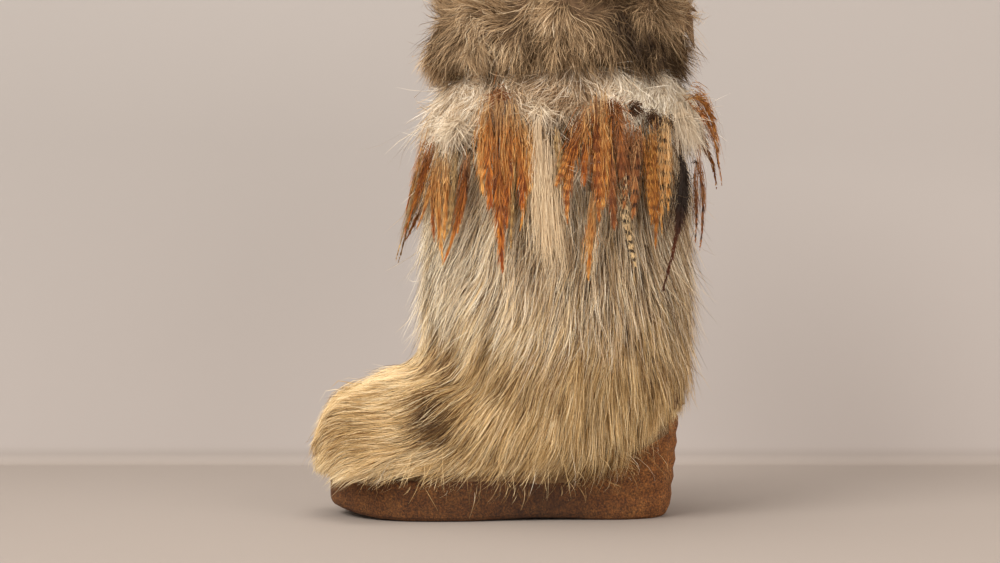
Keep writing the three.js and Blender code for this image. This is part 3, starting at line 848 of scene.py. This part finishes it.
# Each kind: colours along the middle and along the edge, then the bars across it as their number,
# strength, slant and colour, how dense its barbs are, how far they spread in degrees, how far out
# from the quill the bars reach, its outline, how fluffy it is at the root, the kind whose colours
# its loose fibres take, and how many these are. A kind without bars is made of fibres only.
FIELDS = "middle edge bars dense spread bar_reach outline fluff loose fibres"
Kind = namedtuple("Kind", FIELDS, defaults=[None, 1.0, 12, 1.0, HACKLE, 1, None, FIBRES])
KINDS = {
    "orange": Kind(
        [(0, 146, 104, 66), (0.2, 72, 32, 12), (0.7, 92, 38, 10), (1, 126, 54, 14)],
        [(0, 190, 156, 112), (0.25, 198, 126, 54), (1, 202, 118, 38)],
        (9, 0.3, 0.4, (60, 28, 14)), 0.9, 9, loose="amber"),
    "red": Kind(
        [(0, 140, 100, 66), (0.25, 52, 24, 14), (0.75, 110, 42, 12), (1, 184, 96, 28)],
        [(0, 186, 150, 106), (0.3, 182, 106, 40), (1, 216, 146, 62)],
        (6, 0.3, 0.1, (56, 26, 16)), 1.0, 9),
    "amber": Kind(
        [(0, 184, 150, 104), (0.3, 160, 98, 38), (0.7, 172, 96, 28), (1, 196, 124, 42)],
        [(0, 210, 182, 140), (0.3, 220, 172, 108), (1, 222, 172, 98)],
        (6, 0.4, 0.3, (88, 44, 18)), 0.9, 9),
    "barred": Kind(
        [(0, 150, 106, 66), (0.2, 112, 54, 18), (1, 144, 72, 22)],
        [(0, 190, 154, 112), (0.2, 206, 138, 72), (1, 220, 158, 84)],
        (10, 0.6, 0.15, (92, 42, 16)), 1.1, loose="orange"),
    "amber_barred": Kind(
        [(0, 174, 140, 98), (0.2, 150, 92, 36), (1, 160, 96, 34)],
        [(0, 196, 164, 120), (0.2, 200, 146, 74), (1, 204, 142, 62)],
        (10, 0.7, 0.2, (96, 48, 18)), 1.1),
    "golden": Kind(
        [(0, 198, 166, 120), (0.4, 186, 132, 68), (1, 172, 112, 48)],
        [(0, 216, 188, 146), (1, 214, 162, 92)],
        (8, 0.95, 0.0, (44, 28, 20)), 1.2, bar_reach=0.55),
    "brown": Kind(
        [(0, 150, 112, 76), (0.25, 110, 60, 28), (1, 128, 68, 26)],
        [(0, 180, 144, 102), (1, 176, 116, 62)],
        (7, 0.95, 0.1, (48, 28, 20)), 1.2, bar_reach=0.7, loose="rust"),
    "chevron": Kind(
        [(0, 200, 172, 134), (1, 206, 172, 122)],
        [(0, 216, 194, 158), (1, 212, 184, 136)],
        (10, 0.95, 0.25, (40, 28, 20)), 1.3, 14, outline=STRIP),
    "dark": Kind(
        [(0, 46, 34, 26), (0.5, 30, 20, 14), (0.65, 52, 30, 18), (0.8, 84, 40, 18), (1, 56, 26, 12)],
        [(0, 66, 52, 42), (0.5, 44, 32, 24), (0.8, 88, 44, 20), (1, 60, 28, 14)],
        (5, 0.1, 0.1, (26, 19, 15)), 2.6, 20, outline=LANCE, fluff=0.2),
    "rust": Kind(
        [(0, 144, 96, 58), (0.3, 110, 60, 28), (1, 104, 52, 20)],
        [(0, 172, 122, 78), (1, 164, 102, 52)],
        (6, 0.4, 0.1, (70, 40, 26)), loose="orange"),
    "olive": Kind(
        [(0, 170, 142, 100), (0.5, 140, 106, 60), (1, 160, 118, 62)],
        [(0, 196, 168, 124), (1, 202, 168, 110)],
        (8, 0.5, 0.1, (92, 64, 38)), 0.8, 10),
    "cream": Kind(
        [(0, 198, 172, 138), (1, 222, 196, 158)],
        [(0, 226, 208, 180), (1, 240, 220, 184)], fibres=330),
    "white": Kind(
        [(0, 190, 168, 140), (1, 226, 210, 184)],
        [(0, 206, 188, 160), (1, 248, 238, 220)], fibres=200),
    "smoke": Kind(
        [(0, 50, 32, 22), (1, 74, 48, 30)],
        [(0, 70, 48, 32), (1, 112, 80, 52)]),
}
KIND_NAMES = list(KINDS)

# Half the width of a kind's strip in the chart, and how softly bars end, in parts of a half feather
STRIP_HALF = 0.45
BAR_FADE = 0.25


def barred(tree, colour, away, along, kind):
    """The colour with a kind's bars over it."""
    bars, strength, slant, bar_colour = kind.bars
    phase = number(tree, "MULTIPLY_ADD", away, slant, number(tree, "MULTIPLY", along, bars))
    wave = number(tree, "SINE", number(tree, "MULTIPLY", phase, 2 * math.pi))
    stripe = ramp(tree, number(tree, "MULTIPLY_ADD", wave, 0.5, 0.5), [(0.45, *BLACK), (0.75, *WHITE)])
    if kind.bar_reach < 1:
        inside = [(kind.bar_reach - BAR_FADE, *WHITE), (kind.bar_reach, *BLACK)]
        stripe = number(tree, "MULTIPLY", stripe, ramp(tree, away, inside))
    return mixed_colour(tree, number(tree, "MULTIPLY", stripe, strength), colour, rgb(*bar_colour))


def feather_material(name):
    """The chart gives each kind a strip of its own: across it in x and along the feather in y."""
    kind = KINDS[name]
    material, tree, shader = node_material("feather " + name)
    chart_x, along = hair_places(tree)
    strip = number(tree, "MULTIPLY_ADD", chart_x, len(KINDS), -(KIND_NAMES.index(name) + 0.5))
    away = number(tree, "ABSOLUTE", number(tree, "MULTIPLY", strip, 1 / STRIP_HALF))
    colour = mixed_colour(tree, ramp(tree, away, [(0.1, *BLACK), (0.9, *WHITE)]),
                          ramp(tree, along, kind.middle), ramp(tree, along, kind.edge))
    if kind.bars:
        colour = barred(tree, colour, away, along, kind)
    paint(tree, shader, colour, 0.55, 0.2)
    return material


FEATHER_MATERIALS = {name: feather_material(name) for name in KINDS}


def feather_chart(kind, across, along):
    """Chart places of a kind, across from -1 to 1 and along from 0 to 1."""
    strip = KIND_NAMES.index(kind) + 0.5 + STRIP_HALF * across
    return np.stack([strip / len(KINDS), np.clip(along, 0.002, 0.998)], axis=-1)


def along_curve(points, share):
    """Place on the smooth curve through three (y, z) points, at shares from 0 to 1."""
    first, middle, last = np.array(points, float)
    bend = 2 * middle - (first + last) / 2
    share = np.asarray(share)[..., None]
    return first * (1 - share) ** 2 + 2 * share * (1 - share) * bend + last * share ** 2


def feather_spot(points, share, lift, hand):
    """Places along a feather, which stands further off towards its tip."""
    place = along_curve(points, share)
    off = 4 + 5 * smooth(0, 0.25, share) + lift * np.asarray(share) ** 1.5
    return hang_point(place[..., 0], place[..., 1], off, hand)


# Feathers turn their flat side this far towards the side of the boot
SIDE_TURN = 0.8

# Barbs to a mm on each side, barbs in a row that share a streak of colour, and places along a barb
# and along a quill
BARBS = 1.15
PATCH = 7
BARB_STEPS = np.array([0, 0.5, 1])
QUILL_STEPS = 12

# No barb runs further ahead than this. A share of them is longer, by a factor, and a share has a
# stray colour.
BARB_RUN = 16 * MM
LONG_BARBS = 0.06
LONG_BARB = (1.2, 1.7)
STRAY_BARBS = 0.25


def feather_lines(points, shares, lift, hand):
    """Places on the quill, and the ways ahead, to the side and outwards there."""
    middle = feather_spot(points, shares, lift, hand)
    ahead = unit(feather_spot(points, np.minimum(shares + 0.02, 1.02), lift, hand) - middle)
    inward = unit(np.array([0, SHAFT_MIDDLE_Y, 0]) - middle * [1, 1, 0]) - [hand * SIDE_TURN, 0, 0]
    side = unit(np.cross(ahead, inward))
    return middle, ahead, side, unit(np.cross(side, ahead))


def barb_chart(kind, turn, along, rng):
    """Chart places of barbs on one side, in streaks of some barbs each."""
    count = len(along)
    patch = rng.normal(size=(count // PATCH + 1, 1)).repeat(PATCH, axis=0)[:count]
    across = turn * BARB_STEPS * 0.8 + patch * 0.35 + rng.normal(size=(count, 1)) * 0.15
    stray = rng.random((count, 1)) < STRAY_BARBS
    across = np.where(stray, rng.uniform(-0.95, 0.95, (count, 1)), across)
    return feather_chart(kind, np.clip(across, -0.95, 0.95), along)


def barbs(kind, shares, lines, length, width, turn, rng):
    """Barbs on one side of a quill, which run ahead, bend inwards and are fluffy at the root."""
    middle, ahead, side, out = lines
    count = len(shares)
    steps = BARB_STEPS[None, :, None]
    look = KINDS[kind]
    fluffy = smooth(0.35, 0.0, shares) * look.fluff
    angle = np.radians(look.spread * (1 + 1.5 * fluffy) * rng.uniform(0.7, 1.5, count))
    reach = np.interp(shares, *look.outline) * width * 0.5 * MM * rng.uniform(0.45, 1.2, count)
    reach = reach * np.where(rng.random(count) < LONG_BARBS, rng.uniform(*LONG_BARB, count), 1)
    run = np.minimum(reach / np.tan(angle), BARB_RUN)
    loose = 0.4 * MM + 1.8 * MM * fluffy[:, None, None]
    strand = (middle[:, None] + turn * side[:, None] * reach[:, None, None] * steps ** 0.8
              + ahead[:, None] * run[:, None, None] * steps
              - out[:, None] * reach[:, None, None] * 0.25 * steps ** 2
              + rng.normal(size=(count, 1, 3)) * loose * steps)
    along = shares[:, None] + run[:, None] * BARB_STEPS / (length * MM)
    along = along + rng.normal(size=(count, 1)) * 0.005
    chart = barb_chart(kind, turn, along, rng)
    return strips(strand, chart, 0.75 * MM, ([0, 0.5], [1, 0.8]), 0.3, rng, out)


def quill(kind, points, lift, hand, out, rng):
    shares = np.linspace(0.05, 1, QUILL_STEPS)
    line = feather_spot(points, shares, lift, hand)[None] + 0.3 * MM * out[:1]
    chart = feather_chart(kind, np.full((1, QUILL_STEPS), 0.3), shares[None])
    return strips(line, chart, 0.5 * MM, ([0, 1], [1, 0.3]), 0, rng, out[len(out) // 2][None])


def feather_parts(kind, points, width, lift, hand, rng):
    """Barbs and quill of one feather that hangs from its root over a middle place to its tip."""
    length = math.dist(points[0], points[1]) + math.dist(points[1], points[2])
    count = max(30, int(length * BARBS * KINDS[kind].dense))
    shares = np.clip(np.linspace(0, 1, count) + rng.normal(size=count) * 0.004, 0, 1)
    lines = feather_lines(points, shares, lift, hand)
    parts = [barbs(kind, shares, lines, length, width, turn, rng) for turn in (-1, 1)]
    return parts + [quill(kind, points, lift, hand, lines[-1], rng)]


FIBRE_STEPS = 4


def filaments(kind, points, width, lift, hand, rng, count):
    """Fine loose fibres that hang beside a feather."""
    steps = rng.uniform(0.0, 0.5, count)[:, None]
    steps = steps + rng.uniform(0.25, 0.5, (count, 1)) * np.linspace(0, 1, FIBRE_STEPS)
    place = along_curve(points, steps)
    spread = rng.normal(size=count) * width * 0.5
    place[..., 0] += spread[:, None] * (0.6 + 0.6 * steps)
    place[..., 1] += 5 + rng.normal(size=(count, 1)) * 4
    off = rng.uniform(3, 11, (count, 1)) + lift * steps ** 1.5
    strand = hang_point(place[..., 0], place[..., 1], off, hand)
    strand = strand + rng.normal(size=strand.shape) * MM * np.linspace(0.3, 1.5, FIBRE_STEPS)[:, None]
    across = np.broadcast_to(rng.uniform(-0.9, 0.9, (count, 1)), steps.shape)
    chart = feather_chart(kind, across, steps)
    return strips(strand, chart, 0.45 * MM, ([0, 0.7], [1, 0.6]), 0.4, rng)


# Feathers on the outer side, front to back: the tuft, the kind, y and z in mm at root, middle and
# tip, the width, and how far the tip stands off
FEATHERS = [
    (1, "red", (-156, 282), (-166, 249), (-178, 217), 4, 4),
    (1, "red", (-152, 284), (-161, 258), (-172, 232), 3, 3),
    (1, "amber", (-149, 276), (-157, 245), (-166, 222), 3, 2),
    (1, "olive", (-160, 276), (-174, 234), (-184, 199), 2, 4),
    (1, "orange", (-158, 290), (-168, 262), (-176, 236), 3, 3),
    (2, "amber", (-147, 270), (-149, 240), (-145, 194), 6, 2),
    (2, "amber", (-142, 272), (-143, 241), (-144, 212), 5, 3),
    (2, "orange", (-152, 266), (-153, 238), (-152, 211), 4, 3),
    (2, "red", (-127, 273), (-132, 235), (-144, 195), 4, 4),
    (2, "red", (-125, 270), (-130, 240), (-134, 216), 3, 3),
    (2, "olive", (-136, 274), (-138, 240), (-142, 214), 4, 2),
    (3, "orange", (-103, 314), (-103, 254), (-101, 188), 11, 4),
    (3, "orange", (-109, 311), (-111, 276), (-110, 234), 10, 3),
    (3, "orange", (-97, 309), (-96, 268), (-98, 219), 8, 3),
    (3, "amber", (-112, 306), (-116, 276), (-115, 243), 6, 3),
    (3, "orange", (-92, 300), (-88, 268), (-87, 233), 8, 3),
    (3, "amber", (-87, 294), (-83, 264), (-88, 217), 5, 2),
    (3, "olive", (-94, 277), (-94, 239), (-95, 204), 3, 4),
    (3, "amber", (-82, 290), (-80, 268), (-81, 244), 5, 2),
    (3, "red", (-104, 300), (-103, 250), (-104, 212), 5, 4),
    (4, "cream", (-69, 280), (-69, 224), (-64, 167), 13, 2),
    (4, "cream", (-75, 292), (-76, 250), (-73, 205), 8, 2),
    (4, "olive", (-62, 286), (-60, 262), (-58, 240), 3, 2),
    (5, "barred", (-38, 304), (-52, 273), (-62, 249), 6, 4),
    (5, "barred", (-41, 291), (-52, 260), (-54, 221), 6, 3),
    (5, "barred", (-33, 313), (-32, 268), (-31, 224), 9, 4),
    (5, "amber", (-29, 310), (-27, 275), (-28, 233), 7, 3),
    (5, "amber", (-35, 241), (-37, 210), (-39, 181), 4, 4),
    (5, "orange", (-39, 300), (-41, 276), (-42, 250), 6, 2),
    (6, "rust", (-22, 292), (-22, 253), (-20, 217), 8, 3),
    (6, "rust", (-17, 306), (-15, 282), (-14, 256), 10, 2),
    (6, "brown", (-2, 292), (-4, 261), (-6, 227), 8, 4),
    (6, "brown", (-7, 285), (-10, 261), (-13, 233), 6, 3),
    (6, "chevron", (-13, 264), (-11, 224), (-4, 190), 4, 5),
    (7, "amber_barred", (9, 294), (11, 254), (11, 205), 7, 4),
    (7, "amber_barred", (5, 285), (7, 254), (8, 222), 6, 3),
    (7, "golden", (19, 301), (20, 270), (21, 233), 7, 4),
    (7, "golden", (16, 293), (16, 262), (16, 216), 6, 3),
    (8, "dark", (32, 276), (32, 237), (16, 173), 13, 6),
    (8, "white", (32, 308), (39, 286), (44, 262), 14, 2),
    (9, "amber_barred", (38, 318), (58, 310), (71, 258), 7, 3),
    (9, "barred", (40, 316), (60, 297), (68, 272), 5, 2),
    (9, "brown", (46, 274), (51, 243), (48, 205), 4, 0),
    (9, "brown", (44, 262), (45, 236), (44, 210), 3, 0),
]

# Tufts on the outer side with the front and back ones, and in all
OUTER_TUFTS = 9
TUFTS = 16

# Puffs of fluff at the feathers' roots: the tuft, the kind, y, z and size in mm
PUFFS = [
    (2, "white", -135, 300, 28),
    (2, "white", -139, 296, 20),
    (3, "rust", -104, 318, 12),
    (4, "white", -74, 306, 20),
    (5, "white", -45, 262, 14),
    (6, "rust", -20, 308, 20),
    (6, "smoke", -3, 308, 9),
    (7, "smoke", 11, 302, 9),
    (7, "smoke", 21, 300, 9),
    (8, "white", 34, 304, 22),
]


PUFF_FIBRES = 220


def puff(kind, y, z, size, hand, rng):
    """Soft fibres that spread from one place, mostly downwards."""
    off = rng.normal(size=(2, PUFF_FIBRES)) * 2.5
    start = hang_point(y + off[0], z + off[1], 4, hand)
    out = unit(start * [1, 1, 0] - np.array([0, SHAFT_MIDDLE_Y, 0]))[:, None]
    way = rng.normal(size=(PUFF_FIBRES, 3)) * [0.8, 0.8, 0.7] + out[:, 0] * 0.3
    way = unit(way + [0, 0, -1.0])[:, None]
    bend = rng.normal(size=(PUFF_FIBRES, 1, 3)) * 0.35
    steps = np.linspace(0, 1, FIBRE_STEPS)[None, :, None]
    long = size * MM * rng.uniform(0.4, 1, (PUFF_FIBRES, 1, 1))
    strand = start[:, None] + (way * steps + (bend - 0.3 * out) * steps ** 2) * long
    shape = (PUFF_FIBRES, FIBRE_STEPS)
    across = np.broadcast_to(rng.uniform(-0.9, 0.9, (PUFF_FIBRES, 1)), shape)
    chart = feather_chart(kind, across, np.broadcast_to(steps[0, :, 0], shape))
    return strips(strand, chart, 0.5 * MM, ([0, 0.7], [1, 0.6]), 0.5, rng)


def tuft(node, rows, puffs, hands, seed):
    """One tuft as a mesh: puffs, feathers and their loose fibres."""
    rng = np.random.default_rng(seed)
    lots = []
    for hand in hands:
        for kind, y, z, size in puffs:
            lots.append((kind, puff(kind, y, z, size, hand, rng)))
        for kind, *points, width, lift in rows:
            if KINDS[kind].bars:
                lots += [(kind, part) for part in feather_parts(kind, points, width, lift, hand, rng)]
            loose = KINDS[kind].loose or kind
            fibres = filaments(loose, points, width, lift, hand, rng, KINDS[kind].fibres)
            lots.append((loose, fibres))
    used = sorted({kind for kind, _ in lots})
    materials = [FEATHER_MATERIALS[kind] for kind in used]
    slots = [used.index(kind) for kind, _ in lots]
    piece = mesh_piece(node.replace("tuft", "plumes"), [part for _, part in lots], materials, slots)
    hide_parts(node)


def tufts():
    """The front and back tufts reach round both sides, and the rest are mirrored on the inner side."""
    for tuft_number in range(1, OUTER_TUFTS + 1):
        rows = [row[1:] for row in FEATHERS if row[0] == tuft_number]
        puffs = [row[1:] for row in PUFFS if row[0] == tuft_number]
        hands = (1, -1) if tuft_number in (1, OUTER_TUFTS) else (1,)
        tuft(f"feather_tuft_{tuft_number:02d}", rows, puffs, hands, 99 + tuft_number)
        if hands == (1,):
            mirrored = TUFTS + 2 - tuft_number
            tuft(f"feather_tuft_{mirrored:02d}", rows, puffs, (-1,), 119 + tuft_number)


tufts()


# Sole, hide and insole

# The sole's own colours in patches, painted shading from toe to heel with painted shade at the arch
# and painted light at the heel, and its dark pits
CREPE = [(0.3, 154, 92, 40), (0.5, 179, 112, 52), (0.7, 204, 136, 70)]
CREPE_PAINTED_SHADING = [
    (0.0, 208, 208, 208), (0.3, 188, 186, 184), (0.6, 142, 138, 134), (0.72, 176, 174, 172),
    (0.86, 226, 224, 222), (0.94, *WHITE),
]
CREPE_PITS = [(0.36, 96, 94, 92), (0.5, 186, 186, 186), (0.62, *WHITE)]


def crepe_material():
    material, tree, shader = node_material("crepe rubber")
    grain = cloudy(tree, 620, 8, 0.75)
    # Painted shading along the sole: painted shade darkens the arch and painted light brightens the
    # heel.
    painted_shading = ramp(tree, place_parts(tree, "Generated")["Y"], CREPE_PAINTED_SHADING)
    colour = mixed_colour(tree, 1.0, ramp(tree, cloudy(tree, 90, 8), CREPE), painted_shading, "MULTIPLY")
    colour = mixed_colour(tree, 1.0, colour, ramp(tree, grain, CREPE_PITS), "MULTIPLY")
    paint(tree, shader, colour, 0.8)
    bumps(tree, shader, grain, 2 * MM)
    return material


def dress(node, material):
    mesh = NODES[node].data
    mesh.materials.clear()
    mesh.materials.append(material)


dress("crepe_sole", crepe_material())
suede = grainy_material("suede hide", (100, 72, 46), (146, 112, 78), 150, 7, 0.9, 0.4 * MM)
dress("upper", suede)
dress("shaft", suede)
felt = grainy_material("felt", (120, 100, 78), (158, 134, 106), 500, 7, 1.0, 0.5 * MM)
dress("insole", felt)


# Floor, light and camera

# How far the floor runs to the front and to each side, and the wall that it bends up into
FLOOR_FRONT = 4.0
FLOOR_SIDE = 5.0
WALL_PLACE = -0.42
WALL_TOP = 3.0
WALL_BEND = 0.012
BEND_STEPS = 8

# The paper's colour by height, with painted light low on the wall against the lamps' falloff, and a
# painted shade that darkens it towards the toe's side
PAPER = [(0.0, 162, 153, 147), (0.02, 192, 186, 184), (0.35, 175, 170, 168), (1.0, 168, 164, 162)]
PAPER_PAINTED_SHADE = [(0.0, 240, 240, 240), (1.0, *WHITE)]


def paper_material():
    material, tree, shader = node_material("pale paper")
    place = place_parts(tree, "Object")
    # Painted shade towards the toe's side, times the height ramp with its painted light low on the
    # wall.
    painted_shading = ramp(tree, number(tree, "ADD", place["Y"], 0.6), PAPER_PAINTED_SHADE)
    colour = mixed_colour(tree, 1.0, ramp(tree, place["Z"], PAPER), painted_shading, "MULTIPLY")
    paint(tree, shader, colour, 0.9)
    return material


def studio():
    """A pale floor that turns up into a wall close behind the boot."""
    profile = [(FLOOR_FRONT, 0.0)]
    for step in range(BEND_STEPS + 1):
        angle = math.pi / 2 * step / BEND_STEPS
        x = WALL_PLACE + WALL_BEND * (1 - math.sin(angle))
        profile.append((x, WALL_BEND * (1 - math.cos(angle))))
    profile.append((WALL_PLACE, WALL_TOP))
    points = [(x, side * FLOOR_SIDE, z) for x, z in profile for side in (-1, 1)]
    faces = [(2 * k, 2 * k + 1, 2 * k + 3, 2 * k + 2) for k in range(len(profile) - 1)]
    mesh = bpy.data.meshes.new("floor")
    mesh.from_pydata(points, [], faces)
    mesh.polygons.foreach_set("use_smooth", [True] * len(faces))
    mesh.materials.append(paper_material())
    floor = add_object("floor", mesh)


LIGHT_TARGET = (0, -0.1, 0.2)


def light(name, place, size, power, colour):
    lamp = bpy.data.lights.new(name, "AREA")
    lamp.shape = "DISK"
    lamp.size = size
    lamp.energy = power
    lamp.color = colour
    holder = add_object(name, lamp)
    holder.location = place
    holder.rotation_euler = (Vector(LIGHT_TARGET) - Vector(place)).to_track_quat("-Z", "Y").to_euler()


def world():
    sky = bpy.data.worlds.new("soft room")
    sky.use_nodes = True
    back = sky.node_tree.nodes["Background"]
    back.inputs["Color"].default_value = rgb(236, 222, 208)
    back.inputs["Strength"].default_value = 0.8
    bpy.context.scene.world = sky


# The camera stands on the outer side and looks a little upwards
CAMERA_DISTANCE = 1.15
CAMERA_HEIGHT = 0.1446
CAMERA_Y = -0.1027
FOCAL_PIXELS = 1456
FRAME_WIDTH = 1000
SENSOR_WIDTH = 36
TILT_UP = math.radians(1.91)


def camera():
    lens = bpy.data.cameras.new("camera")
    lens.sensor_width = SENSOR_WIDTH
    lens.lens = SENSOR_WIDTH * FOCAL_PIXELS / FRAME_WIDTH
    lens.clip_start = 0.01
    holder = add_object("camera", lens)
    holder.location = (CAMERA_DISTANCE, CAMERA_Y, CAMERA_HEIGHT)
    holder.rotation_euler = (math.pi / 2 + TILT_UP, 0, math.pi / 2)
    bpy.context.scene.camera = holder


studio()
world()
light("key", (1.3, -1.3, 1.5), 1.2, 40, (1.0, 0.95, 0.88))
light("fill", (1.4, 1.2, 0.8), 1.4, 14, (1.0, 0.94, 0.88))
light("top", (0.1, -0.3, 1.9), 1.2, 14, (1.0, 0.96, 0.9))
camera()
bpy.context.scene.view_settings.view_transform = "Standard"
